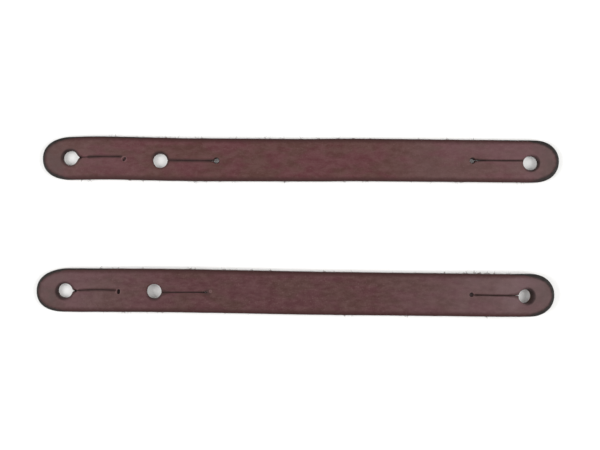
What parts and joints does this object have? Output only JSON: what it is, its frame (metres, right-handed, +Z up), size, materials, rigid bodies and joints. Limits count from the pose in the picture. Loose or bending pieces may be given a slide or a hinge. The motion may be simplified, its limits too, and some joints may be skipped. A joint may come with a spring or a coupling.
{
  "type": "leather keyhole hand strap pair",
  "caption": "Pair of flat leather hand straps with rounded ends, keyhole slots for a stud at both ends, each bending into an arch over the hand.",
  "frame": {"origin": "on the surface the straps lie on, under the middle of the pair's box", "axes": "+X along the straps towards their single-keyhole ends, +Y across from strap_2 to strap_1, +Z up out of the grain side"},
  "size_m": [0.231, 0.08, 0.003],
  "materials": {
    "strap_1_leather": "waxed smooth grain with dark burnished edges, suede flesh side",
    "strap_2_leather": "waxed smooth grain with dark burnished edges, suede flesh side"
  },
  "bodies": {
    "strap_1_adjusting_end": {"strap_1_adjusting_end": "strap_1_leather"},
    "strap_1_left_foot": {"strap_1_left_foot": "strap_1_leather"},
    "strap_1_left_flank": {"strap_1_left_flank": "strap_1_leather"},
    "strap_1_left_crown": {"strap_1_left_crown": "strap_1_leather"},
    "strap_1_right_crown": {"strap_1_right_crown": "strap_1_leather"},
    "strap_1_right_flank": {"strap_1_right_flank": "strap_1_leather"},
    "strap_1_right_foot": {"strap_1_right_foot": "strap_1_leather"},
    "strap_1_single_end": {"strap_1_single_end": "strap_1_leather"},
    "strap_2_adjusting_end": {"strap_2_adjusting_end": "strap_2_leather"},
    "strap_2_left_foot": {"strap_2_left_foot": "strap_2_leather"},
    "strap_2_left_flank": {"strap_2_left_flank": "strap_2_leather"},
    "strap_2_left_crown": {"strap_2_left_crown": "strap_2_leather"},
    "strap_2_right_crown": {"strap_2_right_crown": "strap_2_leather"},
    "strap_2_right_flank": {"strap_2_right_flank": "strap_2_leather"},
    "strap_2_right_foot": {"strap_2_right_foot": "strap_2_leather"},
    "strap_2_single_end": {"strap_2_single_end": "strap_2_leather"}
  },
  "joints": [
    {"name": "strap_1_bend_1", "type": "hinge", "parent": "strap_1_adjusting_end", "child": "strap_1_left_foot", "pos_m": [-0.03275, 0.02992, 0.003], "axis": [-0.0079, -1, 0], "range_deg": [0, 25], "stiffness_Nm_per_rad": 0.02},
    {"name": "strap_1_bend_2", "type": "hinge", "parent": "strap_1_left_foot", "child": "strap_1_left_flank", "pos_m": [-0.01492, 0.02978, 0.003], "axis": [-0.0079, -1, 0], "range_deg": [0, 25]},
    {"name": "strap_1_bend_3", "type": "hinge", "parent": "strap_1_left_flank", "child": "strap_1_left_crown", "pos_m": [0.00292, 0.02964, 0], "axis": [-0.0079, -1, 0], "range_deg": [-33.34, 0]},
    {"name": "strap_1_bend_4", "type": "hinge", "parent": "strap_1_left_crown", "child": "strap_1_right_crown", "pos_m": [0.02075, 0.0295, 0], "axis": [-0.0079, -1, 0], "range_deg": [-33.34, 0]},
    {"name": "strap_1_bend_5", "type": "hinge", "parent": "strap_1_right_crown", "child": "strap_1_right_flank", "pos_m": [0.03858, 0.02936, 0], "axis": [-0.0079, -1, 0], "range_deg": [-33.34, 0]},
    {"name": "strap_1_bend_6", "type": "hinge", "parent": "strap_1_right_flank", "child": "strap_1_right_foot", "pos_m": [0.05641, 0.02922, 0.003], "axis": [-0.0079, -1, 0], "range_deg": [0, 25]},
    {"name": "strap_1_bend_7", "type": "hinge", "parent": "strap_1_right_foot", "child": "strap_1_single_end", "pos_m": [0.07425, 0.02908, 0.003], "axis": [-0.0079, -1, 0], "range_deg": [0, 25]},
    {"name": "strap_2_lift", "type": "slide", "parent": "strap_1_adjusting_end", "child": "strap_2_adjusting_end", "axis": [0, 0, 1], "range_m": [0, 0.06]},
    {"name": "strap_2_bend_1", "type": "hinge", "parent": "strap_2_adjusting_end", "child": "strap_2_left_foot", "pos_m": [-0.03525, -0.02898, 0.003], "axis": [-0.0108, -0.9999, 0], "range_deg": [0, 25], "stiffness_Nm_per_rad": 0.02},
    {"name": "strap_2_bend_2", "type": "hinge", "parent": "strap_2_left_foot", "child": "strap_2_left_flank", "pos_m": [-0.01742, -0.02917, 0.003], "axis": [-0.0108, -0.9999, 0], "range_deg": [0, 25]},
    {"name": "strap_2_bend_3", "type": "hinge", "parent": "strap_2_left_flank", "child": "strap_2_left_crown", "pos_m": [0.00042, -0.02937, 0], "axis": [-0.0108, -0.9999, 0], "range_deg": [-33.34, 0]},
    {"name": "strap_2_bend_4", "type": "hinge", "parent": "strap_2_left_crown", "child": "strap_2_right_crown", "pos_m": [0.01825, -0.02956, 0], "axis": [-0.0108, -0.9999, 0], "range_deg": [-33.34, 0]},
    {"name": "strap_2_bend_5", "type": "hinge", "parent": "strap_2_right_crown", "child": "strap_2_right_flank", "pos_m": [0.03608, -0.02975, 0], "axis": [-0.0108, -0.9999, 0], "range_deg": [-33.34, 0]},
    {"name": "strap_2_bend_6", "type": "hinge", "parent": "strap_2_right_flank", "child": "strap_2_right_foot", "pos_m": [0.05391, -0.02995, 0.003], "axis": [-0.0108, -0.9999, 0], "range_deg": [0, 25]},
    {"name": "strap_2_bend_7", "type": "hinge", "parent": "strap_2_right_foot", "child": "strap_2_single_end", "pos_m": [0.07175, -0.03014, 0.003], "axis": [-0.0108, -0.9999, 0], "range_deg": [0, 25]}
  ],
  "couplings": [
    {"joint": "strap_1_bend_2", "follows": "strap_1_bend_1", "ratio": 1},
    {"joint": "strap_1_bend_3", "follows": "strap_1_bend_1", "ratio": -1.3333},
    {"joint": "strap_1_bend_4", "follows": "strap_1_bend_1", "ratio": -1.3333},
    {"joint": "strap_1_bend_5", "follows": "strap_1_bend_1", "ratio": -1.3333},
    {"joint": "strap_1_bend_6", "follows": "strap_1_bend_1", "ratio": 1},
    {"joint": "strap_1_bend_7", "follows": "strap_1_bend_1", "ratio": 1},
    {"joint": "strap_2_bend_2", "follows": "strap_2_bend_1", "ratio": 1},
    {"joint": "strap_2_bend_3", "follows": "strap_2_bend_1", "ratio": -1.3333},
    {"joint": "strap_2_bend_4", "follows": "strap_2_bend_1", "ratio": -1.3333},
    {"joint": "strap_2_bend_5", "follows": "strap_2_bend_1", "ratio": -1.3333},
    {"joint": "strap_2_bend_6", "follows": "strap_2_bend_1", "ratio": 1},
    {"joint": "strap_2_bend_7", "follows": "strap_2_bend_1", "ratio": 1}
  ]
}
